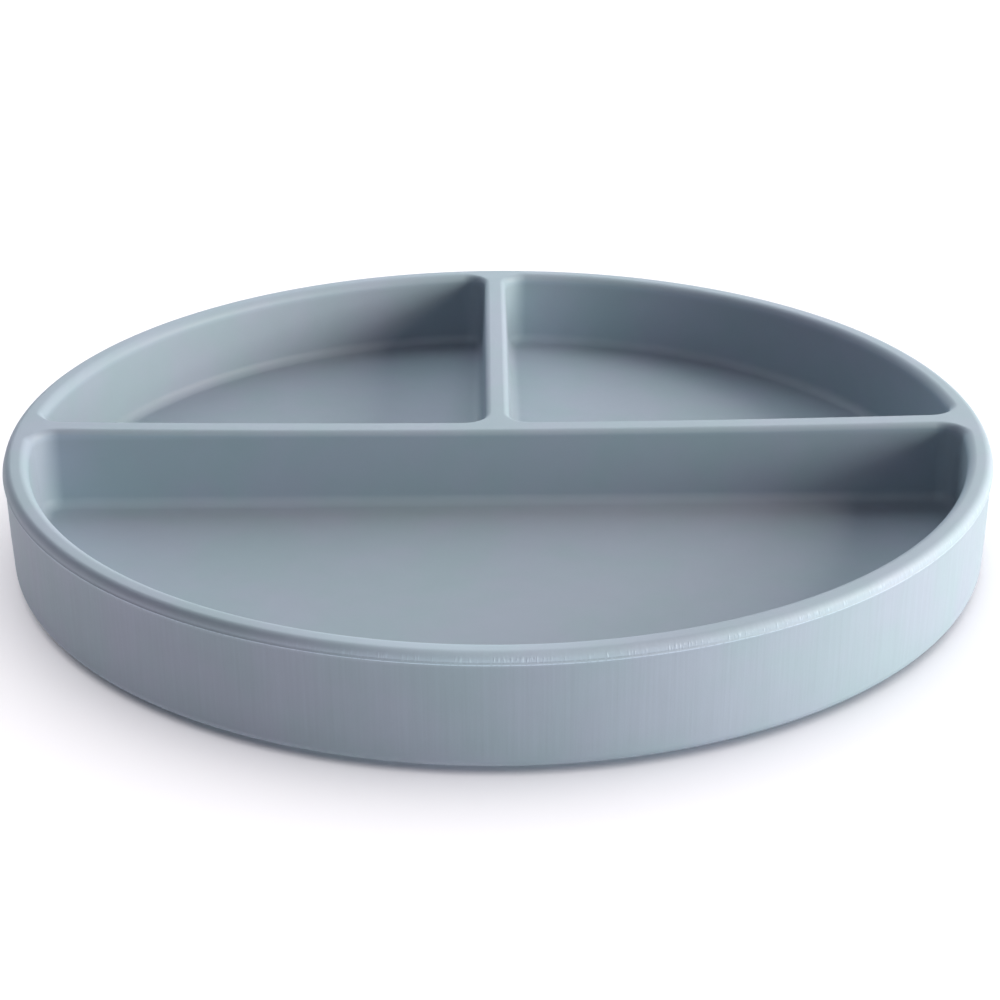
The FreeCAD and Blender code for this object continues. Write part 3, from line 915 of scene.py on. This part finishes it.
def make_tray_silicone(pieces):
    """Bead-blasted slate-blue silicone with upright marks on the wall and nicks on the shoulder."""
    paint = Paint("matte_tray_silicone")
    place = paint.node("ShaderNodeTexCoord", {}, {}, "Object")
    x, y, z, radius, outwards = radius_and_height(paint, place)

    drift = paint.noise(place, 16 * MM, detail=3).rises(*DRIFT_RANGE)
    cloud = paint.noise(place, 5 * MM, detail=2)
    grain = paint.noise(place, 0.30 * MM, detail=3, roughness=0.6)
    pores = paint.noise(place, 0.9 * MM, detail=2)

    # Where things are: over the parting line, on the wall, on the rim's shoulder, at the parting line.
    above = z.rises(*ABOVE_PARTING)
    wall = radius.rises(*OUTSIDE_FACE) * (1 - above) * z.rises(*ABOVE_FOOT)
    shoulder = radius.rises(*SHOULDER) * above
    seam = radius.rises(*BAND_FACE) * z.near(PARTING, SEAM_REACH)

    # Marks on the skin and painted light: tool marks, nicks, a ragged seam lightened as a painted
    # highlight with a dark line over it, tops lightened as painted light, and wear mixed with a painted
    # sheen.
    upright = paint.noise(at_rim(paint, outwards, z, 40), 0.55 * MM, detail=2)
    nick_line = paint.noise(at_rim(paint, outwards, z, 8), 0.32 * MM, detail=1).rises(0.52, 0.68)
    nick_patch = paint.noise(at_rim(paint, outwards, z, 50), 7 * MM, detail=2).rises(0.34, 0.56)
    front_right = (x - y * FRONT_RIGHT_SLANT).rises(*FRONT_RIGHT)
    nicks = nick_line * nick_patch * z.near(NICK_HEIGHT, NICK_REACH) * shoulder * front_right
    ragged = paint.noise(at_rim(paint, outwards, z, 3), 0.5 * MM, detail=3).rises(0.20, 0.55)
    front = (0 - y).rises(*FRONT)
    # A thin ragged line just over the seam, at the front only, made darker in the colour.
    dark_line = radius.rises(*DARK_LINE_FACE) * z.near(DARK_LINE_HEIGHT, DARK_LINE_REACH) * front * ragged

    # Painted light: the tops of the rim and dividers are made lighter, as if light falls on them.
    painted_top_light = z.rises(*TOP_LIGHT_BAND)
    # The front of the rim, shoulder and top, is made pale: partly wear, partly a painted sheen of the
    # light on it.
    wear_and_sheen = x.near(WEAR_AND_SHEEN_MIDDLE, WEAR_AND_SHEEN_REACH) * (0 - y).rises(*WEAR_AND_SHEEN_FRONT) * above
    scuff_and_sheen = shoulder * front_right * upright * 0.14 + wear_and_sheen * 0.34

    colour = paint.blend(drift, TRAY_GREENER, TRAY_VIOLET)
    shade = 1 + (cloud - 0.5) * 0.04 + (grain - 0.5) * 0.05 + (upright - 0.5) * 0.12 * wall
    # The seam's gain here is a painted highlight, standing in for the bead at the parting line catching
    # the light.
    shade = shade + nicks * 0.24 + seam * ragged * 0.40 - dark_line * 0.25 + painted_top_light * 0.14 + scuff_and_sheen
    tint = paint.node("ShaderNodeVectorMath", {"operation": "SCALE"}, {0: colour, "Scale": shade})
    dullness = 0.52 + (pores - 0.5) * 0.12 + (grain - 0.5) * 0.08 - nicks * 0.05
    relief = grain * 0.010 + pores * 0.006 + upright * wall * 0.016
    relief = relief + nicks * 0.05 + seam * ragged * 0.01
    bump = paint.node("ShaderNodeBump", {}, {"Strength": 1.0, "Distance": MM, "Height": relief})
    paint.finish(pieces, Base_Color=tint, Roughness=dullness, Normal=bump, IOR=REFRACTION,
                 Specular_IOR_Level=0.4)


make_tray_silicone([tray])

# %% [markdown]
# The suction base comes from a polished mould, because only a smooth lip holds a vacuum. Its silicone
# is the same blue, a little darker and with more shine, most of all on the land that seals. The mould
# was turned on a lathe, and the finest of the rings that the tool left can be felt on the hub.

# %% Base silicone
BASE_GREENER = (0.318, 0.418, 0.458, 1)
BASE_VIOLET = (0.358, 0.408, 0.480, 1)
SEALING_LAND = (0.2 * MM, 0.6 * MM)


def make_base_silicone(pieces):
    """Satin slate-blue silicone with turning marks, and polished where it seals."""
    paint = Paint("satin_base_silicone")
    place = paint.node("ShaderNodeTexCoord", {}, {}, "Object")
    _, _, z, radius, _ = radius_and_height(paint, place)

    drift = paint.noise(place, 14 * MM, detail=3).rises(*DRIFT_RANGE)
    grain = paint.noise(place, 0.4 * MM, detail=2)
    ring_place = paint.node("ShaderNodeCombineXYZ", {}, {"X": radius, "Y": z * 0.1})
    rings = paint.noise(ring_place, 0.5 * MM, detail=1)
    sealing = 1 - z.rises(*SEALING_LAND)

    colour = paint.blend(drift, BASE_GREENER, BASE_VIOLET)
    shade = 1 + (grain - 0.5) * 0.05 + (rings - 0.5) * 0.05
    tint = paint.node("ShaderNodeVectorMath", {"operation": "SCALE"}, {0: colour, "Scale": shade})
    dullness = 0.44 + (grain - 0.5) * 0.10 - sealing * 0.16
    relief = grain * 0.004 + rings * 0.010
    bump = paint.node("ShaderNodeBump", {}, {"Strength": 1.0, "Distance": MM, "Height": relief})
    paint.finish(pieces, Base_Color=tint, Roughness=dullness, Normal=bump, IOR=REFRACTION)


make_base_silicone([hub, skirt, lip, tab, hinge])

# %% [markdown]
# The plate stands on a plain pale floor that is wide enough to fill the view. The floor is a stage and
# not part of the object. It is white to the camera, and throws a little less light back at the plate, as
# a grey card would. Seen from below it lets the camera through, so that the suction base can be looked at
# while the plate stands where it is.

# %% Floor
FLOOR_WIDTH = 8
FLOOR_COLOUR = (0.97, 0.965, 0.98, 1)
FLOOR_BOUNCE = (0.81, 0.78, 0.80, 1)
select_nothing()
bpy.ops.mesh.primitive_plane_add(size=FLOOR_WIDTH, location=(0, 0, 0))
floor = bpy.context.object
floor.name = "floor"

floor_paint = Paint("pale_floor")
see_through = floor_paint.node("ShaderNodeBsdfTransparent", {}, {})
behind = floor_paint.node("ShaderNodeNewGeometry", {}, {}, "Backfacing")
looked_at = floor_paint.node("ShaderNodeLightPath", {}, {}, "Is Camera Ray")
shown_colour = floor_paint.blend(looked_at, FLOOR_BOUNCE, FLOOR_COLOUR)
floor_paint.finish([floor], Base_Color=shown_colour, Roughness=0.9, Specular_IOR_Level=0.0)
solid = Signal(floor_paint, floor_paint.shader.outputs[0])
shown = floor_paint.node("ShaderNodeMixShader", {}, {0: behind, 1: solid, 2: see_through})
floor_paint.plug(floor_paint.tree.nodes["Material Output"].inputs["Surface"], shown)

# %% [markdown]
# The light is a warm studio soft box on the right, low and near, so that the wells' right sides
# are in shade and the wall's right side is bright. A smaller one further forward carries the light round
# to the front of the wall, and a wide cool one behind the plate puts a sheen on its flat tops. Light
# linking gives these three the plate alone. The floor has a lamp of its own, high and very wide, so that
# it stays pale and even with a soft shadow close to the plate. A round beam shines up on the suction base
# only, inside the foot, and the floor doesn't block it. The world adds a weak even light and is white to
# look at. Levels are the brightness of a white card that faces the lamp, and watts follow from them. A
# spot spreads its watts all round before its beam is cut, so it needs four times those of a box.

# %% Light
LAMP_DISTANCE = 0.9
WATTS_FOR_ONE = math.pi ** 2 * LAMP_DISTANCE ** 2
KEY = {"width": 0.42, "level": 0.89, "colour": (1.0, 0.88, 0.80), "place": (-2, 22)}
FRONT_BOX = {"width": 0.34, "level": 0.46, "colour": (0.88, 1.0, 0.96), "place": (-30, 12)}
BACK_BOX = {"width": 1.0, "level": 0.70, "colour": (0.82, 0.94, 1.0), "place": (94, 38)}
FLOOR_LAMP_ENERGY = 1.13 * math.pi
FLOOR_LAMP_WIDTH = math.radians(120)
FLOOR_LAMP_PLACE = (45, 74)
SPOT_FACTOR = 4
UNDER_LAMP_LEVEL = 0.62
UNDER_LAMP_BEAM = 2 * math.atan(89 * MM / LAMP_DISTANCE)
UNDER_LAMP_SIZE = 4 * MM
UNDER_LAMP_BLEND = 0.05
UNDER_LAMP_PLACE = (120, -80)
WORLD_LIGHT = 0.11
WORLD_COLOUR = (1.08, 0.86, 1.06, 1)


def toward(turn, height):
    """The direction of a place in the studio, from its turn about the plate and its height in degrees."""
    turn, height = (math.radians(turn), math.radians(height))
    return Vector((math.cos(turn) * math.cos(height), math.sin(turn) * math.cos(height), math.sin(height)))


def lamp(name, kind, place, receivers, **settings):
    """A lamp that shines on these pieces only, from a place in the studio towards the plate."""
    data = bpy.data.lights.new(name, kind)
    for key, value in settings.items():
        setattr(data, key, value)
    made = bpy.data.objects.new(name, data)
    bpy.context.collection.objects.link(made)
    direction = toward(*place)
    made.location = direction * LAMP_DISTANCE
    made.rotation_euler = direction.to_track_quat("Z", "Y").to_euler()
    made.visible_camera = False
    lit = bpy.data.collections.new(name + "_receivers")
    for receiver in receivers:
        lit.objects.link(receiver)
    made.light_linking.receiver_collection = lit
    print(name, kind.lower(), round(data.energy, 2), "on", len(receivers), "pieces")
    return made


plate_pieces = [tray, hub, skirt, lip, tab, hinge]
for name, box in (("key", KEY), ("front_box", FRONT_BOX), ("back_box", BACK_BOX)):
    lamp(name, "AREA", box["place"], plate_pieces, energy=box["level"] * WATTS_FOR_ONE,
         size=box["width"], color=box["colour"])
lamp("floor_lamp", "SUN", FLOOR_LAMP_PLACE, [floor], energy=FLOOR_LAMP_ENERGY, angle=FLOOR_LAMP_WIDTH)
under_lamp = lamp("under_lamp", "SPOT", UNDER_LAMP_PLACE, plate_pieces,
                  energy=SPOT_FACTOR * UNDER_LAMP_LEVEL * WATTS_FOR_ONE, shadow_soft_size=UNDER_LAMP_SIZE,
                  spot_size=UNDER_LAMP_BEAM, spot_blend=UNDER_LAMP_BLEND)
under_lamp.light_linking.blocker_collection = under_lamp.light_linking.receiver_collection

world = bpy.data.worlds.new("studio")
bpy.context.scene.world = world
world.use_nodes = True
sky = Wiring(world.node_tree)
glow = sky.tree.nodes["Background"]
sky.plug(glow.inputs["Color"], WORLD_COLOUR)
sky.plug(glow.inputs["Strength"], WORLD_LIGHT)
white = sky.node("ShaderNodeBackground", {}, {"Color": (1, 1, 1, 1), "Strength": 1.0})
camera_ray = sky.node("ShaderNodeLightPath", {}, {}, "Is Camera Ray")
seen = camera_ray.maths("MAXIMUM", camera_ray, camera_ray.other("Is Glossy Ray"))
seen_at_all = seen.maths("MAXIMUM", seen, camera_ray.other("Is Transmission Ray"))
mixed = sky.node("ShaderNodeMixShader", {}, {0: seen_at_all, 1: Signal(sky, glow.outputs[0]), 2: white})
sky.plug(sky.tree.nodes["World Output"].inputs["Surface"], mixed)

# %% [markdown]
# The camera looks down on the plate from the front at about 24 degrees, from less than half a metre away
# with a long lens, so that the far rim is smaller than the near one.

# %% Camera
CAMERA_DISTANCE = 0.431
CAMERA_TILT = math.radians(24.43)
CAMERA_YAW = math.radians(-0.36)
CAMERA_ROLL = math.radians(0.33)
CAMERA_LENS = 78.1
CAMERA_SENSOR = 36
CAMERA_NEAR = 0.01
AIM = Vector((0.35 * MM, 0, RIM_TOP - 16.63 * MM))

camera_data = bpy.data.cameras.new("camera")
camera_data.lens = CAMERA_LENS
camera_data.sensor_width = CAMERA_SENSOR
camera_data.clip_start = CAMERA_NEAR
camera = bpy.data.objects.new("camera", camera_data)
bpy.context.collection.objects.link(camera)
turn = Matrix.Rotation(CAMERA_YAW, 3, "Z")
back_to_camera = Vector((0, -math.cos(CAMERA_TILT), math.sin(CAMERA_TILT)))
camera.location = turn @ (AIM + back_to_camera * CAMERA_DISTANCE)
level = (turn @ -back_to_camera).to_track_quat("-Z", "Y").to_matrix()
camera.rotation_euler = (level @ Matrix.Rotation(-CAMERA_ROLL, 3, "Z")).to_euler()
bpy.context.scene.camera = camera
print("camera at", [round(value, 3) for value in camera.location])
